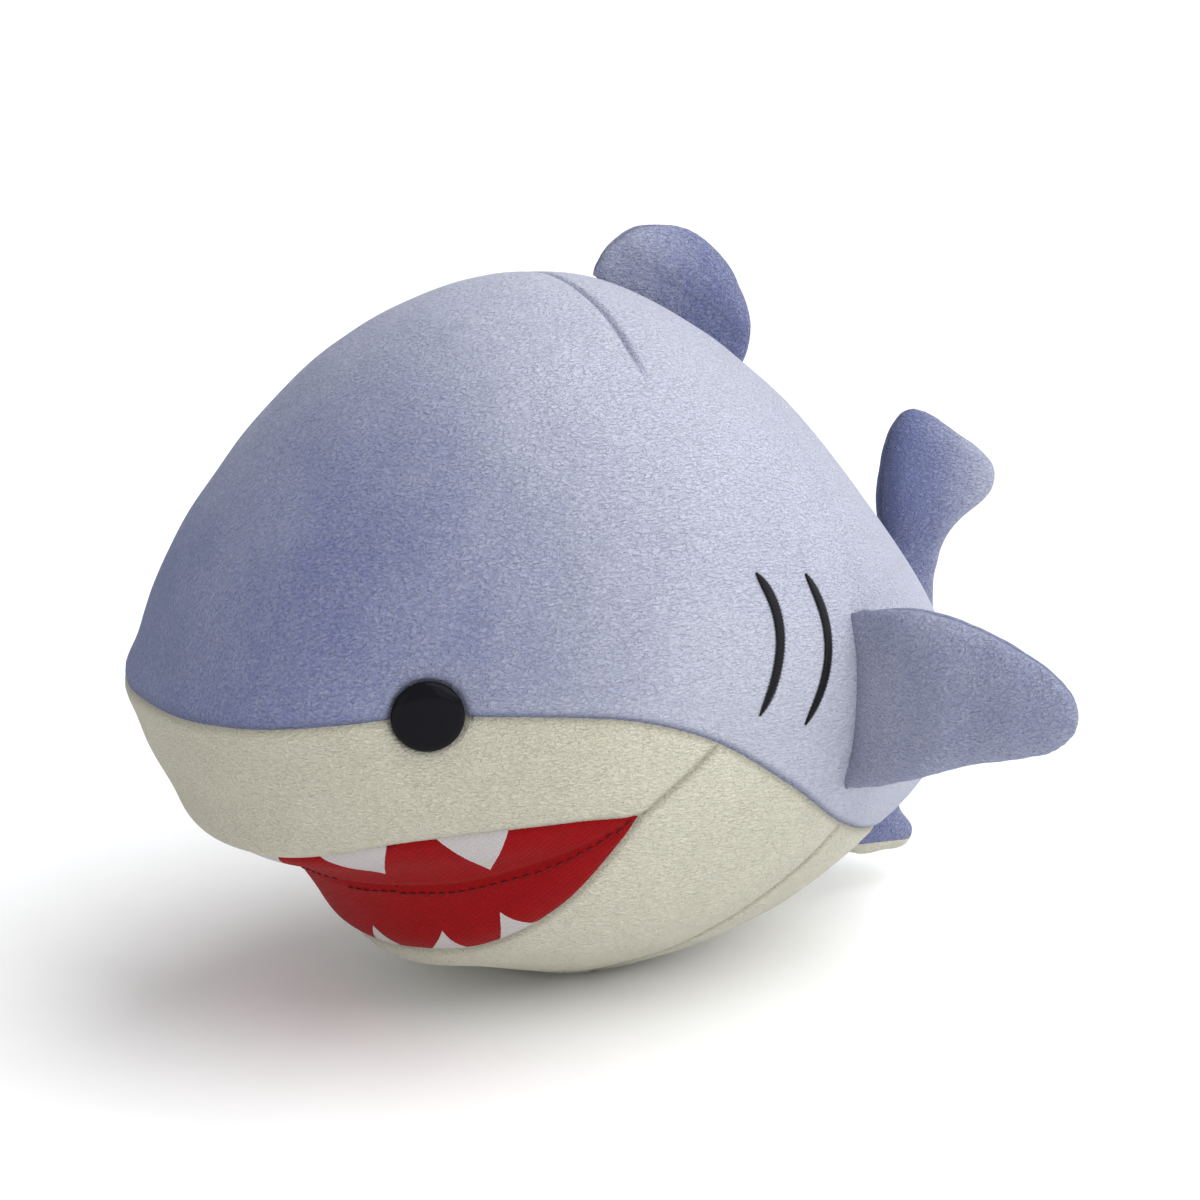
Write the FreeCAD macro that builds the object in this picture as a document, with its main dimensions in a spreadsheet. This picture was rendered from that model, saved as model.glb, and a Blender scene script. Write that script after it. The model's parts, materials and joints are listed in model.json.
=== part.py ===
"""Plush shark: a round stuffed shark with sewn skin panels, safety eyes and floppy fins.

Millimetres, +Z up, nose towards -Y, the shark's left side at +X. The origin is at the middle
of the shark's outline seen from above, on the surface that the belly rests on.
"""
import FreeCAD, Part
import math
import os

from FreeCAD import Placement, Rotation, Vector
import Sketcher

DOC = FreeCAD.newDocument("PlushShark")

# Driving dimensions. Each row is an alias of the sheet and its value in millimetres or degrees.
SIZES = [
    ("SkinThickness", 2.0),
    ("SectionCount", 11),
    ("NosePlace", -178.5),
    ("NoseHeight", 116.0),
    ("RearPlace", 143.0),
    ("RearHeight", 78.0),
    ("EyeRadius", 12.0),
    ("EyeRim", 1.8),
    ("EyeDome", 3.2),
    ("EyeStemRadius", 2.3),
    ("EyeStemLength", 15.0),
    ("EyeSink", 1.5),
    ("WasherRadius", 9.0),
    ("WasherThickness", 1.5),
    ("WasherDepth", 4.0),
    ("PocketGap", 0.5),
    ("GillRaise", 0.7),
    ("GillWidth", 3.0),
    ("ThreadRaise", 0.4),
    ("ThreadWidth", 0.8),
    ("StitchPitch", 4.5),
    ("StitchLength", 3.0),
    ("StitchRadius", 0.45),
    ("PectoralSweep", 40.0),
    ("PectoralRootX", 95.0),
    ("PectoralRootY", 39.0),
    ("GussetHeight", 14.0),
]

# Cross-sections of the body from nose to tail: place along Y, half width, top and bottom.
SECTIONS = [
    (-173.0, 29.0, 143.0, 100.0),
    (-157.0, 52.0, 175.0, 78.0),
    (-131.0, 70.0, 208.0, 51.0),
    (-98.0, 85.0, 236.0, 24.0),
    (-59.0, 98.0, 252.0, 4.0),
    (-17.0, 103.0, 254.0, -4.0),
    (27.0, 99.0, 234.0, 1.0),
    (67.0, 86.0, 199.5, 17.0),
    (102.0, 67.0, 159.0, 34.0),
    (127.0, 43.0, 127.0, 49.0),
    (139.0, 24.0, 101.0, 61.0),
]
SECTION_FIELDS = ("Place", "HalfWidth", "Top", "Bottom")

# Seam lines, drawn on the side view as (Y, Z) points.
SIDE_SEAM = [(-200, 121), (-172, 125), (-128, 129), (-77, 127), (-48, 122), (-21, 111),
             (12, 89), (46, 64), (85, 46), (120, 34), (170, 20)]
MOUTH_CORNER = (-48, 88)
UPPER_LIP = [(-200, 62), (-150, 73), (-122, 81), (-90, 87), MOUTH_CORNER]
MOUTH_FOLD = [(-200, 48), (-132, 56), (-105, 59), (-75, 72), MOUTH_CORNER]
LOWER_LIP = [(-125, -20), (-102, 25), (-83, 36), (-66, 55), MOUTH_CORNER]
CHEEK_TOP = (-21, 111)
BELLY_SEAM = [(46, 64), (18, 39), (-12, 12), (-35, -20)]
DART_PLACE = -26.0
DART_HALF_WIDTH = 64.0

# Gill bars as (Y, Z) points from top to bottom on the side view.
GILL_BARS = [
    [(-4, 166), (3, 144), (-6, 119)],
    [(18, 162), (25, 137), (14, 112)],
]

EYE_PLACE = (-117.0, 130.0)  # Y and Z of the middle of the eye

# Fins. An outline is a root edge of three (along, up) points and a smooth free edge that runs
# from the root edge's last point back to its first. A bulge is (distance, half thickness).
DORSAL_ROOT = [(-8, 256), (27, 237), (60, 211)]
DORSAL_EDGE = [(60, 211), (61.5, 227), (56, 244.5), (44.5, 260), (28.5, 268.5), (8, 267.5), (-8, 256)]
DORSAL_BULGE = [(-6, 2.0), (5, 3.0), (14, 7.5), (24, 7.0), (36, 3.5)]
TAIL_ROOT = [(124, 146), (130, 132), (142, 103), (146.5, 78), (142, 57), (128, 42.5), (104, 27)]
TAIL_EDGE = [(104, 27), (107, 17), (118, 11), (132, 10), (143, 11.5), (145.5, 18), (139, 28),
             (139.5, 42), (148.5, 57), (154.5, 80), (154, 105), (152.5, 122), (156.5, 137), (166, 145),
             (177, 151.5), (179.5, 160), (172, 170), (160, 178), (148, 186.5), (137, 190.5),
             (129, 185), (124.5, 173), (123, 159), (124, 146)]
TAIL_BULGE = [(8, 3.0), (20, 6.5), (40, 3.5), (80, 3.0), (120, 3.0), (150, 8.5), (175, 6.5),
              (198, 3.0)]
PECTORAL_ROOT = [(-1, 148), (4, 115), (-2, 78)]
PECTORAL_EDGE = [(-2, 78), (20, 86.5), (41, 94.5), (60, 99), (75, 106), (79, 117), (72, 128.5),
                 (54, 140), (30, 148.5), (14, 150), (-1, 148)]
PECTORAL_BULGE = [(-5, 1.5), (4, 2.0), (14, 7.0), (30, 10.0), (55, 9.0), (72, 6.0), (82, 3.0)]

REACH = 160.0  # half length of the tools that cut across the whole width
FIN_REACH = 40.0  # half length of the tools that cut across a fin
RING_POINTS = 16


def make_sheet():
    """The spreadsheet of driving dimensions."""
    sheet = DOC.addObject("Spreadsheet::Sheet", "Sizes")
    rows = list(SIZES)
    for number, values in enumerate(SECTIONS, 1):
        for field, value in zip(SECTION_FIELDS, values):
            rows.append((f"Section{number}{field}", value))
    for row, (alias, value) in enumerate(rows, 1):
        sheet.set(f"A{row}", alias)
        sheet.set(f"B{row}", str(value))
        sheet.setAlias(f"B{row}", alias)
    DOC.recompute()
    return sheet


SHEET = make_sheet()


def size(alias):
    """A driving dimension as a plain number."""
    return float(SHEET.get(alias))


def part_feature(label, shape, placement=Placement()):
    """A named sub-part whose shape is given in the shark's frame."""
    feature = DOC.addObject("Part::Feature", label)
    feature.Label = label
    feature.Shape = shape.transformed(placement.inverse().toMatrix())
    feature.Placement = placement
    return feature


def ring(centre, half_a, half_b):
    """A closed elliptical wire about a centre, from two half axes."""
    points = []
    for step in range(RING_POINTS):
        turn = 2 * math.pi * step / RING_POINTS
        points.append(centre + half_a * math.cos(turn) + half_b * math.sin(turn))
    curve = Part.BSplineCurve()
    curve.interpolate(Points=points, PeriodicFlag=True)
    return Part.Wire([curve.toShape()])


def smooth_edge(points):
    """A smooth edge through (Y, Z) points, drawn on the side of the cutting tools."""
    curve = Part.BSplineCurve()
    curve.interpolate([Vector(-REACH, y, z) for y, z in points])
    return curve.toShape()


def straight_edges(points):
    """Straight edges through (Y, Z) points, drawn on the side of the cutting tools."""
    ends = [Vector(-REACH, y, z) for y, z in points]
    return [Part.LineSegment(a, b).toShape() for a, b in zip(ends, ends[1:])]


def across(edges):
    """A solid that reaches across the whole width from a closed outline in the side view."""
    outline = Part.Wire(Part.__sortEdges__(edges))
    return Part.Face(outline).extrude(Vector(2 * REACH, 0, 0))


def single_solid(shape, name):
    """The one solid that a shape holds, or an error that names it."""
    solids = shape.Solids
    if len(solids) != 1:
        raise RuntimeError(f"{name} has {len(solids)} solids")
    return solids[0]


def body_solid(growth, floor):
    """The stuffed body, grown or shrunk by an offset, and cut flat at a floor height."""
    half_length = (size("RearPlace") - size("NosePlace")) / 2
    middle = (size("RearPlace") + size("NosePlace")) / 2
    stretch = 1 + growth / half_length

    def along(place):
        return middle + (place - middle) * stretch

    wires = [Part.Vertex(Vector(0, along(size("NosePlace")), size("NoseHeight")))]
    for number in range(1, int(size("SectionCount")) + 1):
        place, half_width, top, bottom = (size(f"Section{number}{f}") for f in SECTION_FIELDS)
        centre = Vector(0, along(place), (top + bottom) / 2)
        half_height = (top - bottom) / 2 + growth
        wires.append(ring(centre, Vector(half_width + growth, 0, 0), Vector(0, 0, half_height)))
    wires.append(Part.Vertex(Vector(0, along(size("RearPlace")), size("RearHeight"))))
    solid = Part.makeLoft(wires, True, False)
    under = Part.makeBox(2 * REACH, 4 * REACH, REACH, Vector(-REACH, -2 * REACH, floor - REACH))
    return single_solid(solid.cut(under), "body")


class FinFrame:
    """The plane of a fin: its origin, the two directions in it and the direction across it."""

    def __init__(self, origin, along, up, across_it):
        self.origin = origin
        self.along = along
        self.up = up
        self.across = across_it

    def at(self, along, up, off=0.0):
        """A point of the fin's frame in the shark's frame."""
        return self.origin + self.along * along + self.up * up + self.across * off

    def edge(self, points):
        """A smooth edge through (along, up) points."""
        curve = Part.BSplineCurve()
        curve.interpolate([self.at(*point) for point in points])
        return curve.toShape()


def inset(points, distance):
    """The points of a closed outline moved inwards by a distance."""
    before = points[-1:] + points[:-1]
    after = points[1:] + points[:1]
    turning = sum(x0 * y1 - x1 * y0 for (x0, y0), (x1, y1) in zip(points, after))
    sign = math.copysign(distance, turning)
    moved = []
    for (px, py), (x, y), (nx, ny) in zip(before, points, after):
        first, second = Vector(x - px, y - py, 0).normalize(), Vector(nx - x, ny - y, 0).normalize()
        way = (first + second).normalize()
        moved.append((x - way.y * sign, y + way.x * sign))
    return moved


def fin_solid(frame, root, free, bulge, bulge_start, bulge_way):
    """The solid that both a fin's outline and its bulge seen edge-on allow."""
    outline = Part.Wire(Part.__sortEdges__([frame.edge(root), frame.edge(free)]))
    face = Part.Face(outline).translated(frame.across * -FIN_REACH)
    plate = face.extrude(frame.across * 2 * FIN_REACH)
    level = frame.along * -bulge_way[1] + frame.up * bulge_way[0]
    start = frame.at(*bulge_start) - level * 2 * REACH
    way = frame.along * bulge_way[0] + frame.up * bulge_way[1]
    upper = [start + way * s + frame.across * half for s, half in bulge]
    lower = [start + way * s - frame.across * half for s, half in bulge]
    loop = upper + lower[::-1]
    lens = Part.Face(Part.makePolygon(loop + loop[:1])).extrude(level * 4 * REACH)
    return single_solid(plate.common(lens), "fin")


def half_space(normal, point):
    """A large box on the side of a plane that its normal points to."""
    box = Part.makeBox(4 * REACH, 4 * REACH, 2 * REACH, Vector(-2 * REACH, -2 * REACH, 0))
    box.Placement = Placement(point, Rotation(Vector(0, 0, 1), normal))
    return box


def largest_solid(shape):
    """The largest solid of a shape, when a cut leaves loose slivers."""
    return max(shape.Solids, key=lambda solid: solid.Volume)


def fin_pieces(prefix, names, frame, root, free, bulge, bulge_start=(0, 0), bulge_way=(0, 1)):
    """The two skin panels and the stuffing of one fin."""
    skin = size("SkinThickness")
    outer = fin_solid(frame, root, free, bulge, bulge_start, bulge_way)
    outline = inset(root + free[1:-1], skin)
    inner_root, inner_free = outline[:len(root)], outline[len(root) - 1:] + outline[:1]
    inner_bulge = [(place, half - skin * 0.6) for place, half in bulge]
    inner = fin_solid(frame, inner_root, inner_free, inner_bulge, bulge_start, bulge_way)
    pieces = {f"{prefix}_stuffing": inner}
    shell = single_solid(outer.cut(inner), prefix)
    for name, facing in zip(names, (frame.across, frame.across * -1)):
        half = shell.common(half_space(facing, frame.origin))
        pieces[f"{prefix}_{name}_panel"] = single_solid(half, f"{prefix}_{name}")
    return pieces


def make_stuffing(inner, eye_placements):
    """The filling of the body, a left and a right half joined, hollowed behind each eye."""
    halves = []
    for normal, placement in zip((Vector(1, 0, 0), Vector(-1, 0, 0)), eye_placements):
        depth = size("EyeStemLength") + size("PocketGap")
        pocket = Part.makeCylinder(size("WasherRadius") + size("PocketGap"), depth + REACH)
        pocket.Placement = placement.multiply(Placement(Vector(0, 0, -depth), Rotation()))
        half = inner.common(half_space(normal, Vector(0, 0, 0)))
        halves.append(single_solid(half.cut(pocket), "half of the stuffing"))
    return single_solid(halves[0].fuse(halves[1]), "body_stuffing")


def make_body():
    """Skin panels and mouth lining of the body before the eyes are let in, and its two solids."""
    outer = body_solid(0.0, 0.0)
    inner = body_solid(-size("SkinThickness"), size("SkinThickness"))
    skin = outer.cut(inner)
    front, rear, low, high = -200, 170, -20, 300

    above = across([smooth_edge(SIDE_SEAM)]
                   + straight_edges([SIDE_SEAM[-1], (rear, high), (front, high), SIDE_SEAM[0]]))
    upper_mouth = across([smooth_edge(UPPER_LIP), smooth_edge(MOUTH_FOLD)]
                         + straight_edges([UPPER_LIP[0], MOUTH_FOLD[0]]))
    lower_mouth = across([smooth_edge(MOUTH_FOLD), smooth_edge(LOWER_LIP)]
                         + straight_edges([MOUTH_FOLD[0], (front, low), LOWER_LIP[0]]))
    muzzle = across([smooth_edge(UPPER_LIP)]
                    + straight_edges([MOUTH_CORNER, CHEEK_TOP, (CHEEK_TOP[0], 140),
                                      (front, 140), UPPER_LIP[0]]))
    behind = across([smooth_edge(BELLY_SEAM)]
                    + straight_edges([BELLY_SEAM[-1], (rear, low), (rear, 100),
                                      (BELLY_SEAM[0][0], 100), BELLY_SEAM[0]]))

    cream = skin.cut(above)
    mouth = upper_mouth.fuse(lower_mouth)
    shapes = {
        "back_panel": skin.common(above),
        "mouth_lining_upper": cream.common(upper_mouth),
        "mouth_lining_lower": cream.common(lower_mouth),
        "muzzle_panel": cream.cut(mouth).common(muzzle),
        "belly_panel": cream.common(behind),
        "throat_panel": cream.cut(mouth).cut(muzzle).cut(behind),
    }
    return outer, inner, {name: largest_solid(shape) for name, shape in shapes.items()}


def bar_tool(points, width):
    """A curved bar that reaches across, pointed at both ends, along three side-view points."""
    top, middle, bottom = points
    edges = []
    for side in (-1, 1):
        bow = (middle[0] + side * width / 2, middle[1])
        arc = Part.Arc(*[Vector(-REACH, y, z) for y, z in (top, bow, bottom)])
        edges.append(arc.toShape())
    return across(edges)


def make_gills(outer):
    """The embroidered gill bars of both sides, each a raised patch on the skin."""
    raised = body_solid(size("GillRaise"), -5.0)
    tools = [bar_tool(points, size("GillWidth")) for points in GILL_BARS]
    bars = [tool.common(raised).cut(outer) for tool in tools]
    sides = {}
    for name, normal in (("left", Vector(1, 0, 0)), ("right", Vector(-1, 0, 0))):
        region = half_space(normal, Vector(0, 0, 0))
        sides[f"gill_stitching_{name}"] = Part.makeCompound(
            [largest_solid(bar.common(region)) for bar in bars])
    return sides


def make_dart(outer):
    """The thread of the two crown darts, one down each side from the ridge of the back."""
    raised = body_solid(size("ThreadRaise"), -5.0)
    width = size("ThreadWidth")
    threads = []
    for start in (2.0, -2.0 - DART_HALF_WIDTH):
        tool = Part.makeBox(DART_HALF_WIDTH, width, 300.0, Vector(start, DART_PLACE, 150.0))
        threads.append(largest_solid(tool.common(raised).cut(outer)))
    return Part.makeCompound(threads)


def make_fold_stitches(outer):
    """The row of stitches along the fold of the mouth lining, from corner to corner."""
    fold = smooth_edge(MOUTH_FOLD).extrude(Vector(2 * REACH, 0, 0)).common(outer)
    edges = [edge for edge in fold.Edges if edge.BoundBox.YLength > 1]
    path = Part.Wire(Part.__sortEdges__(edges))
    count = int(path.Length / size("StitchPitch"))
    places = path.discretize(Number=count)
    stitches = []
    radius = size("StitchRadius")
    for here, onward in zip(places[1:-2], places[2:-1]):
        lift = Vector(here.x, here.y - size("NosePlace") * 0.35, here.z - size("NoseHeight"))
        along = (onward - here).normalize()
        lift = (lift - along * lift.dot(along)).normalize()
        start = here + lift * radius
        stitches.append(Part.makeCylinder(radius, size("StitchLength"), start, along))
    return stitches


def eye_placement(outer, side):
    """Where an eye sits: on the skin, facing straight out of it."""
    y, z = EYE_PLACE

    def reach(dy, dz):
        line = Part.makeLine(Vector(0, y + dy, z + dz), Vector(REACH, y + dy, z + dz))
        return line.common(outer).BoundBox.XMax

    step = 4.0
    slope_y = (reach(step, 0) - reach(-step, 0)) / (2 * step)
    slope_z = (reach(0, step) - reach(0, -step)) / (2 * step)
    outward = Vector(side, -slope_y, -slope_z).normalize()
    spot = Vector(side * reach(0, 0), y, z) - outward * size("EyeSink")
    return Placement(spot, Rotation(Vector(0, 0, 1), outward))


def bind(feature, **sizes):
    """Bind properties of a feature to aliases of the sheet."""
    for name, formula in sizes.items():
        feature.setExpression(name, formula)


def make_eye(name, placement):
    """A safety eye: a domed disc with a plain stem behind it."""
    rim = DOC.addObject("Part::Cylinder", f"{name}_rim")
    bind(rim, Radius="Sizes.EyeRadius", Height="Sizes.EyeRim")
    dome = DOC.addObject("Part::Ellipsoid", f"{name}_dome")
    dome.Angle1 = 0
    dome.Angle2 = 90
    dome.Placement = Placement(Vector(0, 0, size("EyeRim")), Rotation())
    bind(dome, Radius1="Sizes.EyeDome", Radius2="Sizes.EyeRadius", Radius3="Sizes.EyeRadius")
    stem = DOC.addObject("Part::Cylinder", f"{name}_stem")
    stem.Placement = Placement(Vector(0, 0, -size("EyeStemLength")), Rotation())
    bind(stem, Radius="Sizes.EyeStemRadius", Height="Sizes.EyeStemLength")
    eye = DOC.addObject("Part::MultiFuse", name)
    eye.Shapes = [rim, dome, stem]
    eye.Label = name
    eye.Placement = placement
    return eye


def make_washer(name, placement):
    """The lock ring that grips the stem of an eye inside the skin."""
    body = DOC.addObject("PartDesign::Body", name)
    body.Label = name
    sketch = body.newObject("Sketcher::SketchObject", f"{name}_sketch")
    plane = next(p for p in body.Origin.OriginFeatures if p.Role == "XY_Plane")
    sketch.AttachmentSupport = [(plane, "")]
    sketch.MapMode = "FlatFace"
    for index, alias in enumerate(("WasherRadius", "EyeStemRadius")):
        circle = Part.Circle(Vector(0, 0, 0), Vector(0, 0, 1), size(alias))
        sketch.addGeometry(circle, False)
        sketch.addConstraint(Sketcher.Constraint("Coincident", index, 3, -1, 1))
        number = sketch.addConstraint(Sketcher.Constraint("Radius", index, size(alias)))
        sketch.setExpression(f"Constraints[{number}]", f"Sizes.{alias}")
    ring_pad = body.newObject("PartDesign::Pad", f"{name}_pad")
    ring_pad.Profile = sketch
    ring_pad.setExpression("Length", "Sizes.WasherThickness")
    outward = placement.Rotation.multVec(Vector(0, 0, 1))
    depth = size("WasherDepth") + size("WasherThickness")
    body.Placement = Placement(placement.Base - outward * depth, placement.Rotation)
    return body


SIDE_VIEW = FinFrame(Vector(0, 0, 0), Vector(0, 1, 0), Vector(0, 0, 1), Vector(1, 0, 0))


def make_dorsal():
    """Dorsal fin: two panels and stuffing on the middle plane."""
    (front_y, front_z), (rear_y, rear_z) = DORSAL_ROOT[0], DORSAL_ROOT[-1]
    length = math.hypot(rear_y - front_y, rear_z - front_z)
    way = ((front_z - rear_z) / length, (rear_y - front_y) / length)
    return fin_pieces("dorsal", ("left", "right"), SIDE_VIEW, DORSAL_ROOT, DORSAL_EDGE,
                      DORSAL_BULGE, DORSAL_ROOT[0], way)


def make_tail():
    """Tail fin: two panels, a cream gusset under the lower lobe, and stuffing."""
    pieces = fin_pieces("tail", ("left", "right"), SIDE_VIEW, TAIL_ROOT, TAIL_EDGE, TAIL_BULGE)
    low = half_space(Vector(0, 0, -1), Vector(0, 0, size("GussetHeight")))
    sides = [pieces["tail_left_panel"], pieces["tail_right_panel"]]
    gusset = sides[0].common(low).fuse(sides[1].common(low)).removeSplitter()
    pieces["tail_gusset"] = largest_solid(gusset)
    pieces["tail_left_panel"], pieces["tail_right_panel"] = (
        largest_solid(panel.cut(low)) for panel in sides)
    return pieces


def make_pectoral(side, name):
    """A pectoral fin: a front and a back panel and stuffing, swept back from the flank."""
    sweep = math.radians(size("PectoralSweep"))
    out = Vector(side * math.cos(sweep), math.sin(sweep), 0)
    facing = Vector(side * math.sin(sweep), -math.cos(sweep), 0)
    root = Vector(side * size("PectoralRootX"), size("PectoralRootY"), 0)
    frame = FinFrame(root, out, Vector(0, 0, 1), facing)
    return fin_pieces(f"pectoral_{name}", ("front", "back"), frame, PECTORAL_ROOT,
                      PECTORAL_EDGE, PECTORAL_BULGE, (0, 0), (1, 0))


def add_all():
    """Every sub-part of the shark as an object of the document."""
    outer, inner, panels = make_body()
    parts = []
    eye_shapes = []
    placements = [eye_placement(outer, side) for side in (1, -1)]
    for name, placement in zip(("left", "right"), placements):
        eye = make_eye(f"eye_{name}", placement)
        washer = make_washer(f"eye_washer_{name}", placement)
        parts += [eye, washer]
        DOC.recompute()
        eye_shapes += [eye.Shape, washer.Shape]
    for name in ("back_panel", "muzzle_panel"):
        panels[name] = largest_solid(panels[name].cut(eye_shapes))
    panels["body_stuffing"] = make_stuffing(inner, placements)

    panels.update(make_gills(outer))
    panels["crown_dart_thread"] = make_dart(outer)
    panels["mouth_fold_stitches"] = Part.makeCompound(make_fold_stitches(outer))
    panels.update(make_dorsal())
    panels.update(make_tail())
    for name, side in (("left", 1), ("right", -1)):
        panels.update(make_pectoral(side, name))
    parts += [part_feature(name, shape) for name, shape in panels.items()]
    return parts


def write_parts(parts):
    """Check every object, then write each sub-part's shape to its own file."""
    DOC.recompute()
    for item in DOC.Objects:
        if "Invalid" in item.State or "Error" in item.State:
            raise RuntimeError(f"{item.Label} failed: {item.State}")
    os.makedirs("parts", exist_ok=True)
    for part in parts:
        if part.Shape.isNull() or not part.Shape.isValid():
            raise RuntimeError(f"{part.Label} has no valid shape")
        part.Shape.exportStep(f"parts/{part.Label}.step")
        box = part.Shape.BoundBox
        print(f"{part.Label:26} solids {len(part.Shape.Solids):3} volume {part.Shape.Volume:10.0f}"
              f"  Y {box.YMin:7.1f} {box.YMax:7.1f}  Z {box.ZMin:6.1f} {box.ZMax:6.1f}"
              f"  X {box.XMin:7.1f} {box.XMax:7.1f}")


write_parts(add_all())
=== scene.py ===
"""Plush shark: sewn panels, printed mouth, safety eyes, satin-stitched gills and stuffed fins."""
import json
import math

import bmesh
import bpy
from bpy.props import FloatProperty, FloatVectorProperty, PointerProperty
from mathutils import Matrix, Vector, noise
from mathutils.bvhtree import BVHTree
from mathutils.kdtree import KDTree


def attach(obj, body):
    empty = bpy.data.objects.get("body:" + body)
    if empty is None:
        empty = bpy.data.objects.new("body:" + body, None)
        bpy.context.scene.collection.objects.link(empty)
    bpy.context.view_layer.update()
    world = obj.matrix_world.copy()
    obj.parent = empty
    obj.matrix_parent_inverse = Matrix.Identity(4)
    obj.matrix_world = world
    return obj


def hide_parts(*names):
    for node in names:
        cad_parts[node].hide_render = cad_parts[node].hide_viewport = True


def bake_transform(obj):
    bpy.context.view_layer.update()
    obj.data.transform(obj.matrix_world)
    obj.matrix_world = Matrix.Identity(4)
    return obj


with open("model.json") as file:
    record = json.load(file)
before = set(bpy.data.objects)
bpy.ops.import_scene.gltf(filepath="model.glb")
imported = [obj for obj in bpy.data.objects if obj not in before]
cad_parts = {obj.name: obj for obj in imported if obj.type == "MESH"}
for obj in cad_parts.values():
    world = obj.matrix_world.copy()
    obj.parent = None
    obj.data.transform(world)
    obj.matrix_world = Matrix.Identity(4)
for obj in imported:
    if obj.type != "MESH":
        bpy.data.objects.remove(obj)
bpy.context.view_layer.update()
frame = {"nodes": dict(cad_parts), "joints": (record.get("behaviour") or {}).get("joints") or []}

bl_info = {
    "name": "Plush shark",
    "version": (1, 0, 0),
    "blender": (4, 5, 0),
    "location": "View3D > Sidebar > Shark",
    "description": "Sews a round plush shark over its packed frame",
    "category": "Object",
}

MM = 0.001

# Seam lines on the side view, as (along, up) points in millimetres.
SIDE_SEAM = [(-200, 121), (-172, 125), (-128, 129), (-77, 127), (-48, 122), (-21, 111),
             (12, 89), (46, 64), (85, 46), (120, 34), (170, 20)]
UPPER_LIP = [(-200, 62), (-150, 73), (-122, 81), (-90, 87), (-48, 88)]
MOUTH_FOLD = [(-200, 42), (-132, 51), (-105, 57), (-75, 71), (-48, 88)]
LOWER_LIP = [(-125, -20), (-102, 25), (-83, 36), (-66, 55), (-48, 88)]
CHEEK_SEAM = [(-48, 88), (-21, 111)]
BELLY_SEAM = [(-35, -20), (-12, 12), (18, 39), (46, 64)]
MOUTH_CORNER = -48.0
CHEEK_TOP = -21.0
DART_PLACE = -26.0
GILL_BARS = [[(-4, 166), (3, 144), (-6, 119)], [(18, 162), (25, 137), (14, 112)]]
EYE_CENTRE = (76.0, -117.0, 130.0)
EYE_OUTWARD = (0.91, -0.42, -0.03)
MIDDLE = Vector((0, -0.017, 0.125))

# How far a fin's root is let into the body.
ROOT_SINK = 7 * MM

PANELS = ("back", "muzzle", "throat", "belly", "lining_upper", "lining_lower")


class SharkSizes(bpy.types.PropertyGroup):
    """Sizes of the sewing and stuffing that a maker would change."""
    seam_depth: FloatProperty(name="Seam depth", description="How far a seam pulls the skin in",
                              default=0.9 * MM, unit="LENGTH")
    seam_width: FloatProperty(name="Seam width", description="Half width of the groove at a seam",
                              default=1.2 * MM, unit="LENGTH")
    mouth_depth: FloatProperty(name="Mouth depth", description="How deep the mouth fold goes",
                               default=5.0 * MM, unit="LENGTH")
    lip_roll: FloatProperty(name="Lip roll", description="How far the lips stand proud",
                            default=1.2 * MM, unit="LENGTH")
    lump_height: FloatProperty(name="Lump height", description="Unevenness of the stuffing",
                               default=0.9 * MM, unit="LENGTH")
    eye_radius: FloatProperty(name="Eye radius", description="Radius of a safety eye",
                              default=12.0 * MM, unit="LENGTH")
    gill_width: FloatProperty(name="Gill width", description="Width of a gill bar at its middle",
                              default=3.6 * MM, unit="LENGTH")
    stitch_pitch: FloatProperty(name="Stitch pitch", description="Step of the mouth stitching",
                                default=3.6 * MM, unit="LENGTH")
    fin_edge: FloatProperty(name="Fin edge", description="Width of the round of a fin's edge",
                            default=20.0 * MM, unit="LENGTH")


class SharkColours(bpy.types.PropertyGroup):
    """Colours of the cloths, threads and plastic."""
    # The blue and cream colours are the plush's tone and the painted lit ends of the light along
    # the shark.
    blue: FloatVectorProperty(name="Blue plush", description="Colour of the back and fins",
                              subtype="COLOR", size=3, default=(0.470, 0.485, 0.580))
    # The flat-nap blue, also the painted shaded end.
    blue_brushed_and_shaded: FloatVectorProperty(name="Brushed blue", subtype="COLOR", size=3,
                                      description="Blue plush where its nap lies flat",
                                      default=(0.115, 0.135, 0.285))
    cream: FloatVectorProperty(name="Cream plush", description="Colour of the muzzle and belly",
                               subtype="COLOR", size=3, default=(0.610, 0.590, 0.480))
    # The flat-nap cream, also the painted shaded end.
    cream_brushed_and_shaded: FloatVectorProperty(name="Brushed cream", subtype="COLOR", size=3,
                                       description="Cream plush where its nap lies flat",
                                       default=(0.400, 0.375, 0.290))
    red: FloatVectorProperty(name="Red cloth", description="Colour of the mouth lining",
                             subtype="COLOR", size=3, default=(0.330, 0.002, 0.004))
    tooth: FloatVectorProperty(name="Printed tooth", description="Colour of the printed teeth",
                               subtype="COLOR", size=3, default=(0.500, 0.470, 0.465))
    black: FloatVectorProperty(name="Black", description="Colour of the eyes and gill thread",
                               subtype="COLOR", size=3, default=(0.006, 0.006, 0.008))


def height_on(line, along):
    """Height of a seam line at a place along the shark, smooth through the line's points."""
    last = len(line) - 2
    step = next((i for i in range(last + 1) if along < line[i + 1][0]), last)
    (x0, y0), (x1, y1) = line[step], line[step + 1]
    before, after = line[max(step - 1, 0)], line[min(step + 2, last + 1)]
    slope0 = (y1 - before[1]) / (x1 - before[0])
    slope1 = (after[1] - y0) / (after[0] - x0)
    if along < x0:
        return y0 + slope0 * (along - x0)
    if along > x1:
        return y1 + slope1 * (along - x1)
    width = x1 - x0
    t = (along - x0) / width
    return ((2 * t ** 3 - 3 * t ** 2 + 1) * y0 + (t ** 3 - 2 * t ** 2 + t) * width * slope0
            + (3 * t ** 2 - 2 * t ** 3) * y1 + (t ** 3 - t ** 2) * width * slope1)


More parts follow.
